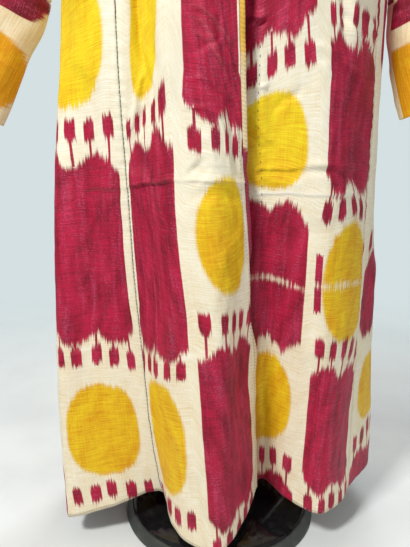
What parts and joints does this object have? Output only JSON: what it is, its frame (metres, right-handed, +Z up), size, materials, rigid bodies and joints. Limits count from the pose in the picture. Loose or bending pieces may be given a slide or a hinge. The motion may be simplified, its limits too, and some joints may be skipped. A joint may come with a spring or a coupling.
{
  "type": "uzbek chapan robe on a dress form",
  "caption": "Long collarless open-front ikat robe with side gores and wide straight sleeves, hanging on a limbless dress form with a round base.",
  "frame": {"origin": "centre of the underside of the form's round base", "axes": "+Z up, -Y towards the front of the robe, +X towards the wearer's left"},
  "size_m": [0.955, 0.3903, 1.3933],
  "materials": {
    "ikat_cloth": "ribbed silk and cotton with a soft sheen",
    "edging": "rolled twisted cord-like strip",
    "jersey": "matt cotton jersey",
    "black_gloss": "gloss lacquer",
    "grey_rim": "satin",
    "steel": "satin"
  },
  "bodies": {
    "root": {"front_right": "ikat_cloth", "front_left": "ikat_cloth", "back_right": "ikat_cloth", "back_left": "ikat_cloth", "gore_right": "ikat_cloth", "gore_left": "ikat_cloth", "sleeve_upper_right": "ikat_cloth", "sleeve_lower_right": "ikat_cloth", "sleeve_upper_left": "ikat_cloth", "sleeve_lower_left": "ikat_cloth", "edging_front_right": "edging", "edging_front_left": "edging", "edging_neck": "edging", "form_torso": "jersey", "form_cap": "black_gloss", "form_pole": "steel", "form_collar": "black_gloss", "form_base": "black_gloss", "form_rim": "grey_rim"}
  },
  "joints": []
}
